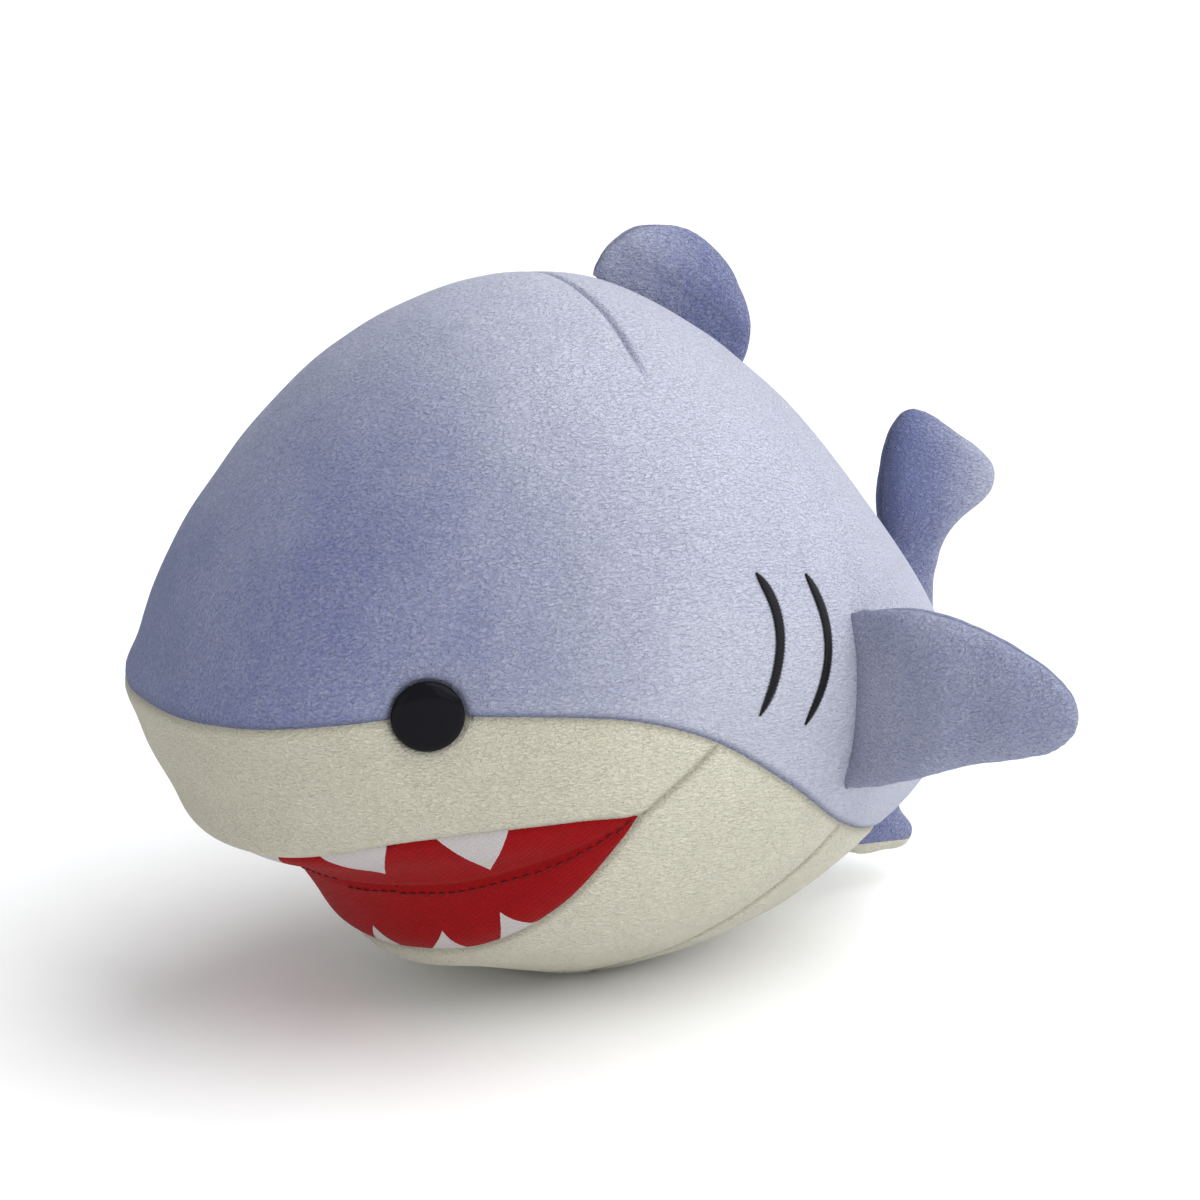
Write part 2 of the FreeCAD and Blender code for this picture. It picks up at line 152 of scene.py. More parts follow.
def smooth_step(low, high, value):
    """0 at low, 1 at high and smooth between, whichever is the larger."""
    t = min(max((value - low) / (high - low), 0.0), 1.0)
    return t * t * (3 - 2 * t)


def bump(distance, width):
    """A bell that is 1 at no distance and fades over a width."""
    return math.exp(-(distance / width) ** 2)


def tree_of(points):
    """A search tree over points."""
    tree = KDTree(len(points))
    for number, point in enumerate(points):
        tree.insert(point, number)
    tree.balance()
    return tree


def along_edges(edges, step=0.5 * MM):
    """Points at a close step along edges."""
    points = []
    for edge in edges:
        a, b = (v.co.copy() for v in edge.verts)
        count = max(1, int((b - a).length / step))
        points += [a.lerp(b, i / count) for i in range(count + 1)]
    return points


def object_from(bm, name, smooth=True):
    """A new object in the scene from a mesh being built."""
    mesh = bpy.data.meshes.new(name)
    bm.to_mesh(mesh)
    bm.free()
    for polygon in mesh.polygons:
        polygon.use_smooth = smooth
    made = bpy.data.objects.new(name, mesh)
    bpy.context.scene.collection.objects.link(made)
    return made


def settled(obj):
    """Apply an object's modifiers to its mesh."""
    graph = bpy.context.evaluated_depsgraph_get()
    mesh = bpy.data.meshes.new_from_object(obj.evaluated_get(graph))
    obj.modifiers.clear()
    obj.data = mesh
    for polygon in mesh.polygons:
        polygon.use_smooth = True


def panel_at(along, up):
    """Which panel of the skin a place on the side view belongs to."""
    if up > height_on(SIDE_SEAM, along):
        return "back"
    if along < MOUTH_CORNER:
        if up > height_on(UPPER_LIP, along):
            return "muzzle"
        if up > height_on(MOUTH_FOLD, along):
            return "lining_upper"
        return "lining_lower" if up > height_on(LOWER_LIP, along) else "throat"
    if along < CHEEK_TOP:
        return "muzzle" if up > height_on(CHEEK_SEAM, along) else "throat"
    return "belly" if along > 46 or up < height_on(BELLY_SEAM, along) else "throat"


def cut_on_line(bm, line, low, high):
    """Cut the skin along a seam line between two places along the shark."""
    faces = [f for f in bm.faces if low < f.calc_center_median().y / MM < high]
    parts = set(faces)
    for face in faces:
        parts.update(face.verts, face.edges)
    for vert in bm.verts:
        vert.co.z -= height_on(line, vert.co.y / MM) * MM
    bmesh.ops.bisect_plane(bm, geom=list(parts), dist=1e-6, plane_co=(0, 0, 0),
                           plane_no=(0, 0, 1))
    for vert in bm.verts:
        vert.co.z += height_on(line, vert.co.y / MM) * MM


class Skin:
    """The stuffed body's skin: a fine shell on the frame's panels, cut and shaped at its seams."""

    def __init__(self, sizes):
        self.sizes = sizes
        self.bm = bmesh.new()
        self.wrap_frame()
        self.cut_seams()
        self.find_seams()
        self.refine()
        self.shape()
        self.tree = BVHTree.FromBMesh(self.bm)

    def wrap_frame(self):
        """A close ball drawn onto the outside of the frame's body panels."""
        shell = bmesh.new()
        for node in ("back_panel", "muzzle_panel", "throat_panel", "belly_panel",
                     "mouth_lining_upper", "mouth_lining_lower", "body_stuffing"):
            shell.from_mesh(frame["nodes"][node].data)
        outside = BVHTree.FromBMesh(shell)
        shell.free()
        bmesh.ops.create_icosphere(self.bm, subdivisions=7, radius=0.4)
        for vert in self.bm.verts:
            way = -vert.co.normalized()
            hit = outside.ray_cast(MIDDLE + vert.co, way)
            vert.co = hit[0]
        bmesh.ops.smooth_vert(self.bm, verts=self.bm.verts, factor=0.5, use_axis_x=True,
                              use_axis_y=True, use_axis_z=True)

    def cut_seams(self):
        """Cut along every seam and note each face's panel."""
        for place in (MOUTH_CORNER, CHEEK_TOP):
            geometry = self.bm.verts[:] + self.bm.edges[:] + self.bm.faces[:]
            bmesh.ops.bisect_plane(self.bm, geom=geometry, dist=1e-6,
                                   plane_co=(0, place * MM, 0), plane_no=(0, 1, 0))
        cut_on_line(self.bm, SIDE_SEAM, -300, 300)
        for line in (UPPER_LIP, MOUTH_FOLD, LOWER_LIP):
            cut_on_line(self.bm, line, -300, MOUTH_CORNER)
        cut_on_line(self.bm, CHEEK_SEAM, MOUTH_CORNER, CHEEK_TOP)
        cut_on_line(self.bm, BELLY_SEAM, -36, 46)
        bmesh.ops.triangulate(self.bm, faces=self.bm.faces[:])
        self.panel = self.bm.faces.layers.int.new("panel")
        for face in self.bm.faces:
            middle = face.calc_center_median() / MM
            face[self.panel] = PANELS.index(panel_at(middle.y, middle.z))

    def find_seams(self):
        """Close points along the seams between each pair of panels, and their search trees."""
        lines = {}
        for edge in self.bm.edges:
            sides = {f[self.panel] for f in edge.link_faces}
            if len(sides) == 2:
                key = frozenset(PANELS[i] for i in sides)
                lines.setdefault(key, []).append(edge)
        self.seams = {key: along_edges(edges) for key, edges in lines.items()}
        fold = frozenset(("lining_upper", "lining_lower"))
        self.fold = tree_of(self.seams[fold])
        self.sewn = tree_of([p for key, points in self.seams.items() if key != fold
                             for p in points])
        self.lips = tree_of(self.lip("lining_upper", "muzzle")
                            + self.lip("lining_lower", "throat"))

    def lip(self, lining, skin):
        """Points on the lip between a lining and the skin, from the right corner to the left."""
        return sorted(self.seams[frozenset((lining, skin))], key=lambda p: p.x)

    def refine(self):
        """Halve every edge."""
        bmesh.ops.subdivide_edges(self.bm, edges=self.bm.edges[:], cuts=1, use_grid_fill=True)
        self.bm.normal_update()

    def shape(self):
        """Pull in seams, mouth and eyes and add the unevenness of the stuffing."""
        sizes = self.sizes
        seam_shade_mask = self.bm.verts.layers.float.new("seam")
        unshaped = self.bm.verts.layers.float_vector.new("unshaped")
        centres = [Vector((side * EYE_CENTRE[0], EYE_CENTRE[1], EYE_CENTRE[2])) * MM
                   for side in (1, -1)]
        moves = []
        for vert in self.bm.verts:
            place = vert.co
            fold = self.fold.find(place)[2]
            sewn = self.sewn.find(place)[2]
            open_mouth = smooth_step(MOUTH_CORNER * MM, (MOUTH_CORNER - 38) * MM, place.y)
            depth = -sizes.seam_depth * bump(sewn, sizes.seam_width)
            depth += -0.7 * MM * bump(sewn, 9 * MM)
            front = smooth_step(-80 * MM, -125 * MM, place.y)
            depth += (-sizes.mouth_depth * (1 + 0.5 * front) * bump(fold, (13 + 12 * front) * MM)
                      * open_mouth)
            depth += self.fullness(place)
            depth += -1.2 * MM * bump(fold, 2.0 * MM) * smooth_step(-44 * MM, -52 * MM, place.y)
            if open_mouth > 0:
                lip = self.lips.find(place)[2]
                depth += sizes.lip_roll * bump(lip - 8 * MM, 7 * MM) * open_mouth
            dart_fade = 1 - smooth_step(52 * MM, 68 * MM, abs(place.x))
            dart = abs(place.y - DART_PLACE * MM)
            if place.z > 0.15 and dart < 0.06:
                groove = 1.3 * MM * bump(dart, 1.1 * MM) + 0.4 * MM * bump(dart, 7 * MM)
                depth -= groove * dart_fade
            eye = min((place - c).length for c in centres)
            under_eye = 1 - smooth_step(9 * MM, 13 * MM, eye)
            depth -= 2.4 * MM * bump(eye, 17 * MM) + 2.2 * MM * under_eye
            lumps = noise.noise(place * 19) + 0.5 * noise.noise(place * 47 + Vector((3, 1, 7)))
            depth += sizes.lump_height * lumps
            # Mask of painted shade in the seam grooves and along the crown dart.
            vert[seam_shade_mask] = max(bump(sewn, 1.7 * MM), 0.9 * bump(dart, 1.1 * MM) * dart_fade
                                  if place.z > 0.19 else 0.0)
            vert[unshaped] = place
            moves.append(vert.normal * depth)
        for vert, move in zip(self.bm.verts, moves):
            low = vert.co.z
            vert.co += move
            spread = math.hypot(vert.co.x, vert.co.y + 15 * MM)
            tuck = 4.2 * MM * smooth_step(6 * MM, 44 * MM, spread) * bump(low, 20 * MM)
            vert.co.z = max(vert.co.z if low > 0.3 * MM else 0.0, 0.0) + tuck

    @staticmethod
    def fullness(place):
        """How far the stuffing pushes the nose, muzzle and chin out."""
        along, up = place.y / MM, place.z / MM
        nose = smooth_step(-115, -160, along)
        push = 4.0 * nose * bump(up - height_on(SIDE_SEAM, along), 8)
        push += 4.0 * nose * bump(up - 77, 12)
        push += 3.0 * bump(along + 93, 16) * bump(up - 20, 12)
        return push * MM

    def panel_piece(self, name, panel):
        """One panel of the skin as its own object."""
        bm = self.bm.copy()
        layer = bm.faces.layers.int["panel"]
        others = [f for f in bm.faces if f[layer] != PANELS.index(panel)]
        bmesh.ops.delete(bm, geom=others, context="FACES")
        return object_from(bm, name)

    def lip_map(self, obj, lip):
        """Lay a map on a lining: how far round the mouth, and how far in from the lip."""
        spaced = [lip[0]]
        for point in lip:
            if (point - spaced[-1]).length > 1.5 * MM:
                spaced.append(point)
        run = [0.0]
        for a, b in zip(spaced, spaced[1:]):
            run.append(run[-1] + (b - a).length)
        middle = run[min(range(len(spaced)), key=lambda i: abs(spaced[i].x))]
        tree = tree_of(spaced)
        layer = obj.data.uv_layers.new(name="mouth")
        found = []
        unshaped = [Vector(item.vector) for item in obj.data.attributes["unshaped"].data]
        rim = [(a.co, b.co) for a, b in self.rim_of(obj, unshaped, tree)]
        shaped_lip = tree_of([a.lerp(b, i / 6) for a, b in rim for i in range(7)])
        for vert, place in zip(obj.data.vertices, unshaped):
            _, index, _ = tree.find(place)
            steps = [i for i in (index - 1, index) if 0 <= i < len(spaced) - 1]
            _, step = min(((place - self.on_run(spaced, i, place)[0]).length, i) for i in steps)
            share = self.on_run(spaced, step, place)[1]
            part = run[step] + share * (run[step + 1] - run[step])
            found.append((part - middle, shaped_lip.find(vert.co)[2]))
        for loop in obj.data.loops:
            layer.data[loop.index].uv = found[loop.vertex_index]

    @staticmethod
    def rim_of(obj, unshaped, tree):
        """The pairs of points along the edge of a lining that lie on its lip."""
        mesh = obj.data
        on_lip = [tree.find(place)[2] < 1.6 * MM for place in unshaped]
        seen = {}
        for polygon in mesh.polygons:
            for key in polygon.edge_keys:
                seen[key] = seen.get(key, 0) + 1
        return [(mesh.vertices[a], mesh.vertices[b]) for (a, b), uses in seen.items()
                if uses == 1 and on_lip[a] and on_lip[b]]

    @staticmethod
    def on_run(points, index, place):
        """The nearest point of one step of a run to a place, and how far along the step it is."""
        a, b = points[index], points[index + 1]
        share = min(max((place - a).dot(b - a) / (b - a).length_squared, 0.0), 1.0)
        return a.lerp(b, share), share

    def on_skin(self, along, up, side):
        """The skin's point and outward way at a place on the side view."""
        start = Vector((side * 0.3, along * MM, up * MM))
        hit = self.tree.ray_cast(start, Vector((-side, 0, 0)))
        return hit[0], hit[1]


class Wire:
    """A value running through a material, with the usual arithmetic."""

    def __init__(self, maker, socket):
        self.maker = maker
        self.socket = socket

    def _join(self, kind, first, second=None):
        return self.maker.node("ShaderNodeMath", {"operation": kind}, first, second)

    def __add__(self, other):
        return self._join("ADD", self, other)

    __radd__ = __add__

    def __sub__(self, other):
        return self._join("SUBTRACT", self, other)

    def __rsub__(self, other):
        return self._join("SUBTRACT", other, self)

    def __mul__(self, other):
        return self._join("MULTIPLY", self, other)

    __rmul__ = __mul__

    def __lt__(self, other):
        return self._join("LESS_THAN", self, other)

    def fraction(self):
        return self._join("FRACT", self)

    def size(self):
        return self._join("ABSOLUTE", self)

    def wave(self):
        return self._join("SINE", self)


class Cloth:
    """A material being built: its nodes, its finish and the map that its pattern follows."""

    def __init__(self, name, **finish):
        self.material = bpy.data.materials.new(name)
        self.material.use_nodes = True
        self.tree = self.material.node_tree
        self.shader = self.tree.nodes["Principled BSDF"]
        for socket, value in finish.items():
            self.shader.inputs[socket.replace("_", " ")].default_value = value

    def node(self, kind, settings, *values, out=0, **named):
        """Add a node: its settings first, then the values or links of its sockets."""
        made = self.tree.nodes.new(kind)
        for key, value in settings.items():
            if key == "stops":
                ramp = made.color_ramp.elements
                for (place, colour), element in zip(value, ramp):
                    element.position = place
                    element.color = colour
            else:
                setattr(made, key, value)
        sockets = list(zip(made.inputs, values))
        sockets += [(made.inputs[key.replace("_", " ")], value) for key, value in named.items()]
        for socket, value in sockets:
            if isinstance(value, Wire):
                self.tree.links.new(value.socket, socket)
            elif value is not None:
                socket.default_value = value
        return Wire(self, made.outputs[out])

    def place(self):
        """Object coordinates."""
        return self.node("ShaderNodeTexCoord", {}, out="Object")

    def noise(self, vector, scale, detail=3.0, roughness=0.5):
        """A noise value about 0.5."""
        return self.node("ShaderNodeTexNoise", {}, Vector=vector, Scale=scale, Detail=detail,
                         Roughness=roughness)

    def stretched(self, vector, scale, turn=(0.0, 0.0, 0.0)):
        """Coordinates stretched and turned by a Mapping node."""
        return self.node("ShaderNodeMapping", {}, Vector=vector, Rotation=turn, Scale=scale)

    def ramp(self, value, *stops):
        """A grey ramp between two stops."""
        stops = [(place, (grey, grey, grey, 1)) for place, grey in stops]
        return self.node("ShaderNodeValToRGB", {"stops": stops}, value)

    def blend(self, factor, first, second):
        """One colour changing to another by a factor."""
        made = self.node("ShaderNodeMix", {"data_type": "RGBA"}, out=2)
        mixer = made.socket.node
        for socket, value in ((mixer.inputs[0], factor), (mixer.inputs[6], first),
                              (mixer.inputs[7], second)):
            if isinstance(value, Wire):
                self.tree.links.new(value.socket, socket)
            elif isinstance(value, float):
                socket.default_value = value
            else:
                socket.default_value = (*value[:3], 1)
        return made

    def attribute(self, name):
        """A value kept at the points of the mesh."""
        return self.node("ShaderNodeAttribute", {"attribute_name": name}, out="Fac")

    def raise_by(self, height, strength, distance):
        """Raise the surface by a height."""
        bumped = self.node("ShaderNodeBump", {}, Strength=strength, Distance=distance,
                           Height=height)
        self.tree.links.new(bumped.socket, self.shader.inputs["Normal"])

    def colour(self, wire, socket="Base Color"):
        """Feed the shader's colour or another of its sockets."""
        self.tree.links.new(wire.socket, self.shader.inputs[socket])


def shade(colour, share):
    """A colour made darker or lighter."""
    return tuple(min(1.0, part * share) for part in colour)


def plush(name, light, brushed_and_shaded, sheen_tint, shade_stops, crease=0.62):
    """Short-pile plush: nap lying flat in patches, fine fibre streaks, painted shade at the seams.

    Painted shade and light change along the shark between two (along, lightness) stops; the
    flat-nap colour is the painted shaded end and the light colour the painted lit end.
    """
    cloth = Cloth(name, Roughness=0.88, Sheen_Weight=0.35, Sheen_Roughness=0.5,
                  Sheen_Tint=(*sheen_tint, 1), Specular_IOR_Level=0.15)
    place = cloth.place()
    patches = cloth.ramp(cloth.noise(place, 9.0, 3.0, 0.55), (0.38, 0.0), (0.64, 1.0))
    strokes = cloth.noise(cloth.stretched(place, (1.0, 1.0, 0.45), (0.5, 0.3, 0.2)), 90.0, 3.0, 0.6)
    fibres = cloth.node("ShaderNodeTexNoise", {}, Vector=cloth.stretched(
        place, (1.0, 0.40, 1.0), (0.0, 0.0, 0.25)), Scale=1250.0, Detail=2.0, Roughness=0.5,
        Distortion=0.7)
    tufts = cloth.noise(place, 2400.0, 1.0, 0.5)
    # Painted shade and light along the shark: a lightness ramp between the two stops.
    along = cloth.node("ShaderNodeSeparateXYZ", {}, place, out="Y")
    (low, flat), (high, lightness_at_high) = shade_stops
    painted_light_along = cloth.node("ShaderNodeMapRange", {"interpolation_type": "SMOOTHSTEP"}, along, low, high,
                      flat, lightness_at_high)
    # Random nap tone plus the painted light along the shark.
    nap = painted_light_along + patches * 0.26 + strokes * 0.24 + fibres * 0.9 - 0.66
    colour = cloth.blend(nap, brushed_and_shaded, light)
    # Painted shade in the seam grooves, broken up by the fibres, towards a darker copy of the
    # flat-nap colour.
    seam = cloth.attribute("seam")
    painted_seam_shade = seam * (fibres * 0.9 + 0.35)
    cloth.colour(cloth.blend(painted_seam_shade, colour, shade(brushed_and_shaded, crease)))
    cloth.raise_by(fibres * 1.0 + tufts * 0.1 + strokes * 0.15, 1.0, 1.9 * MM)
    return cloth.material


def lining(name, colours, pitch, base, height, shift, reach):
    """Red twill with teeth printed along the lip, on the mouth's own map."""
    cloth = Cloth(name, Roughness=0.8, Sheen_Weight=0.04, Sheen_Roughness=0.4,
                  Specular_IOR_Level=0.12)
    around = cloth.node("ShaderNodeUVMap", {"uv_map": "mouth"})
    split = cloth.node("ShaderNodeSeparateXYZ", {}, around, out="X")
    run = split
    inward = Wire(cloth, split.socket.node.outputs["Y"])
    place = cloth.place()
    wobble = (cloth.noise(place, 800.0, 1.0) - 0.5) * (0.5 * MM)
    across = ((run.size() + shift - inward * 0.2) * (1 / pitch)).fraction() - 0.5
    half_width = across.size() * pitch
    edge = (inward + wobble) * (1 / height) + half_width * (2 / base)
    tooth = (edge < 1.0) * (run.size() < reach)
    parts = cloth.node("ShaderNodeSeparateXYZ", {}, place, out="X")
    level = (parts + Wire(cloth, parts.socket.node.outputs["Y"])) * 0.7
    up = Wire(cloth, parts.socket.node.outputs["Z"])
    rib = ((level * 0.75 + up * 0.66) * (2 * math.pi / (1.0 * MM))).wave()
    cross = ((level * 0.66 - up * 0.75) * (2 * math.pi / (1.5 * MM))).wave()
    weave = rib * 0.5 + cross * 0.22
    slub = cloth.noise(place, 210.0, 2.0)
    red = cloth.blend(weave * 0.35 + slub * 0.5, shade(colours.red, 0.62), colours.red)
    white = cloth.blend(weave * 0.3 + 0.5, shade(colours.tooth, 0.80), colours.tooth)
    cloth.colour(cloth.blend(tooth, red, white))
    cloth.raise_by(weave + slub * 0.8, 0.5, 0.35 * MM)
    return cloth.material


def thread(name, colour, roughness=0.5):
    """Glossy embroidery thread with a fine twist."""
    cloth = Cloth(name, Roughness=roughness, Sheen_Weight=0.0, Specular_IOR_Level=0.2)
    place = cloth.place()
    twist = cloth.noise(place, 2600.0, 2.0)
    cloth.colour(cloth.blend(twist, shade(colour, 0.55), shade(colour, 1.5)))
    cloth.raise_by(twist, 0.4, 0.15 * MM)
    return cloth.material


def eye_plastic(colour):
    """Black moulded plastic with faint wear and dust."""
    cloth = Cloth("eye_plastic", Roughness=0.12, Specular_IOR_Level=0.06)
    place = cloth.place()
    dust = cloth.ramp(cloth.noise(place, 900.0, 4.0, 0.7), (0.60, 0.0), (0.80, 1.0))
    haze = cloth.noise(place, 120.0, 3.0)
    cloth.colour(cloth.blend(dust * 0.03, colour, (0.10, 0.10, 0.11)))
    cloth.colour(haze * 0.06 + dust * 0.12 + 0.09, "Roughness")
    return cloth.material


def finish(obj, material, slot):
    """Give a new piece its material; the slot is not used."""
    obj.data.materials.clear()
    obj.data.materials.append(material)


class Shop:
    """What the operators share: the shaped skin and the cloths."""
    skin = None
    blue = None
    pectoral = None
    dorsal = None
    tail = None
    cream = None


def shop():
    """The shared skin and cloths, made when they are first needed."""
    if Shop.skin is None:
        colours = bpy.context.scene.shark_colours
        Shop.skin = Skin(bpy.context.scene.shark_sizes)
        # Each cloth's stops paint shade and light along the shark: darker at the nose and the
        # fronts of the pectoral and tail fins, lighter towards the back; the dorsal fin is painted
        # darker towards its back.
        Shop.blue = plush("blue_plush_cloth", colours.blue, colours.blue_brushed_and_shaded,
                          (0.84, 0.88, 1.0), ((-0.19, -0.04), (0.0, 1.02)))
        Shop.pectoral = plush("pectoral_plush_cloth", colours.blue, colours.blue_brushed_and_shaded,
                              (0.84, 0.88, 1.0), ((-0.005, 0.10), (0.04, 0.50)))
        Shop.dorsal = plush("dorsal_plush_cloth", colours.blue, colours.blue_brushed_and_shaded,
                            (0.84, 0.88, 1.0), ((0.0, 0.42), (0.05, 0.12)))
        Shop.tail = plush("tail_plush_cloth", colours.blue, colours.blue_brushed_and_shaded,
                          (0.84, 0.88, 1.0), ((0.132, 0.02), (0.172, 0.55)))
        Shop.cream = plush("cream_plush_cloth", colours.cream, colours.cream_brushed_and_shaded,
                           (1.0, 0.98, 0.90), ((-0.17, 0.42), (0.02, 0.85)), 0.84)
    return Shop


class SHARK_OT_body_skin(bpy.types.Operator):
    """Sew the back, muzzle, throat and belly panels"""
    bl_idname = "shark.body_skin"
    bl_label = "Body skin"

    def execute(self, context):
        made = shop()
        for panel, cloth, slot, nodes in (
                ("back", made.blue, "blue_plush", ("back_panel", "body_stuffing")),
                ("muzzle", made.cream, "cream_plush", ("muzzle_panel",)),
                ("throat", made.cream, "cream_plush", ("throat_panel",)),
                ("belly", made.cream, "cream_plush", ("belly_panel",))):
            skin = made.skin.panel_piece(f"{panel}_skin", panel)
            finish(skin, cloth, slot)
            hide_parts(*nodes)
            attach(skin, "body")
        return {"FINISHED"}


class SHARK_OT_mouth(bpy.types.Operator):
    """Sew the printed mouth lining and its row of stitches"""
    bl_idname = "shark.mouth"
    bl_label = "Mouth"

    def execute(self, context):
        skin = shop().skin
        colours = context.scene.shark_colours
        for name, neighbour, pitch, base, height, shift, reach in (
                ("lining_upper", "muzzle", 41 * MM, 24 * MM, 19 * MM, 4.5 * MM, 115 * MM),
                ("lining_lower", "throat", 27.5 * MM, 16 * MM, 13 * MM, 24 * MM, 86 * MM)):
            piece = skin.panel_piece(f"mouth_{name}_cloth", name)
            skin.lip_map(piece, skin.lip(name, neighbour))
            finish(piece, lining(f"{name}_twill", colours, pitch, base, height, shift,
                                 reach),
                   "red_cloth")
            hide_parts("mouth_" + name)
            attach(piece, "body")
        self.sew_fold(skin, context.scene.shark_sizes)
        return {"FINISHED"}

    def sew_fold(self, skin, sizes):
        """The dashed row of thread along the fold, from corner to corner."""
        fold = skin.lip("lining_upper", "lining_lower")
        bm = bmesh.new()
        last = fold[0]
        for point in fold:
            if (point - last).length < sizes.stitch_pitch:
                continue
            way = (point - last).normalized()
            spot, outward, _, _ = skin.tree.find_nearest(last.lerp(point, 0.5))
            turn = Matrix.Translation(spot + outward * 0.35 * MM) @ way.to_track_quat(
                "X", "Z").to_matrix().to_4x4()
            bmesh.ops.create_uvsphere(bm, u_segments=8, v_segments=5, radius=1.0, matrix=turn
                                      @ Matrix.Diagonal((1.35 * MM, 0.4 * MM, 0.4 * MM, 1)))
            last = point
        row = object_from(bm, "mouth_fold_thread")
        finish(row, thread("fold_thread", (0.11, 0.006, 0.008), 0.6), "red_thread")
        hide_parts("mouth_fold_stitches")
        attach(row, "body")


class SHARK_OT_eyes(bpy.types.Operator):
    """Turn the two safety eyes"""
    bl_idname = "shark.eyes"
    bl_label = "Eyes"

    def execute(self, context):
        radius = context.scene.shark_sizes.eye_radius
        plastic = eye_plastic(context.scene.shark_colours.black)
        profile = [(0.0, -6.0), (2.2, -6.0), (2.2, -1.0), (10.6, -1.0), (11.6, -0.7), (12.0, 0.0),
                   (11.9, 0.8), (11.4, 1.6), (10.4, 2.3), (8.6, 2.9), (5.6, 3.4), (2.6, 3.6),
                   (0.0, 3.65)]
        for name, side in (("left", 1), ("right", -1)):
            bm = bmesh.new()
            verts = [bm.verts.new((r / 12 * radius, 0, z * MM)) for r, z in profile]
            edges = [bm.edges.new(pair) for pair in zip(verts, verts[1:])]
            bmesh.ops.spin(bm, geom=verts + edges, cent=(0, 0, 0), axis=(0, 0, 1),
                           angle=2 * math.pi, steps=64, use_merge=True)
            bmesh.ops.remove_doubles(bm, verts=bm.verts[:], dist=1e-6)
            bmesh.ops.recalc_face_normals(bm, faces=bm.faces[:])
            outward = Vector((side * EYE_OUTWARD[0], EYE_OUTWARD[1], EYE_OUTWARD[2]))
            centre = Vector((side * EYE_CENTRE[0], EYE_CENTRE[1], EYE_CENTRE[2])) * MM
            turn = outward.to_track_quat("Z", "Y").to_matrix().to_4x4()
            bmesh.ops.transform(bm, verts=bm.verts[:],
                                matrix=Matrix.Translation(centre - outward * 0.6 * MM) @ turn)
            eye = object_from(bm, f"safety_eye_{name}")
            rounder = eye.modifiers.new("round", "SUBSURF")
            rounder.levels = rounder.render_levels = 1
            settled(eye)
            finish(eye, plastic, "black_plastic")
            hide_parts(f"eye_{name}", f"eye_washer_{name}")
            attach(eye, "body")
        return {"FINISHED"}


class SHARK_OT_gills(bpy.types.Operator):
    """Stitch the gill bars in black satin stitch"""
    bl_idname = "shark.gills"
    bl_label = "Gills"

    def execute(self, context):
        skin = shop().skin
        black = thread("gill_thread", context.scene.shark_colours.black, 0.42)
        for name, side in (("left", 1), ("right", -1)):
            bm = bmesh.new()
            for bar in GILL_BARS:
                self.satin(bm, skin, bar, side, context.scene.shark_sizes.gill_width)
            gills = object_from(bm, f"gill_thread_{name}")
            finish(gills, black, "black_thread")
            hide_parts(f"gill_stitching_{name}")
            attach(gills, "body")
        return {"FINISHED"}

    def satin(self, bm, skin, bar, side, width):
        """Threads laid side by side across a bar, longest at its middle."""
        (y0, z0), (y1, z1), (y2, z2) = bar
        pull_y, pull_z = 2 * y1 - (y0 + y2) / 2, 2 * z1 - (z0 + z2) / 2
        count = int((z0 - z2) / 0.42)
        for number in range(count + 1):
            t = number / count
            along = (1 - t) ** 2 * y0 + 2 * t * (1 - t) * pull_y + t ** 2 * y2
            up = (1 - t) ** 2 * z0 + 2 * t * (1 - t) * pull_z + t ** 2 * z2
            spot, outward = skin.on_skin(along, up, side)
            reach = width / 2 * (1 - abs(2 * t - 1) ** 7) + 0.5 * MM
            reach *= 1 + 0.10 * math.sin(number * 2.4)
            down = Vector((0, (1 - t) * (pull_y - y0) + t * (y2 - pull_y),
                           (1 - t) * (pull_z - z0) + t * (z2 - pull_z))).normalized()
            across = outward.cross(down).normalized()
            turn = Matrix((across, outward.cross(across), outward)).transposed().to_4x4()
            size = Matrix.Diagonal((reach, 0.3 * MM, 0.55 * MM, 1))
            bmesh.ops.create_uvsphere(bm, u_segments=8, v_segments=6, radius=1.0, matrix=(
                Matrix.Translation(spot + outward * 0.15 * MM) @ turn @ size))


class SHARK_OT_dart(bpy.types.Operator):
    """Sew the thread of the crown darts"""
    bl_idname = "shark.dart"
    bl_label = "Crown darts"

    def execute(self, context):
        skin = shop().skin
        bm = bmesh.new()
        for side in (1, -1):
            for step in range(22):
                x = side * (4 + step * 2.7) * MM
                spot, outward, _, _ = skin.tree.ray_cast(Vector((x, DART_PLACE * MM, 0.4)),
                                                         Vector((0, 0, -1)))
                across = outward.cross(Vector((0, 1, 0))).normalized()
                turn = Matrix((across, outward.cross(across), outward)).transposed().to_4x4()
                bmesh.ops.create_uvsphere(bm, u_segments=8, v_segments=5, radius=1.0, matrix=(
                    Matrix.Translation(spot + outward * 0.05 * MM) @ turn
                    @ Matrix.Diagonal((1.0 * MM, 0.25 * MM, 0.25 * MM, 1))))
        row = object_from(bm, "crown_dart_stitches")
        finish(row, thread("dart_thread", (0.30, 0.34, 0.50), 0.6), "blue_thread")
        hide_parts("crown_dart_thread")
        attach(row, "body")
        return {"FINISHED"}


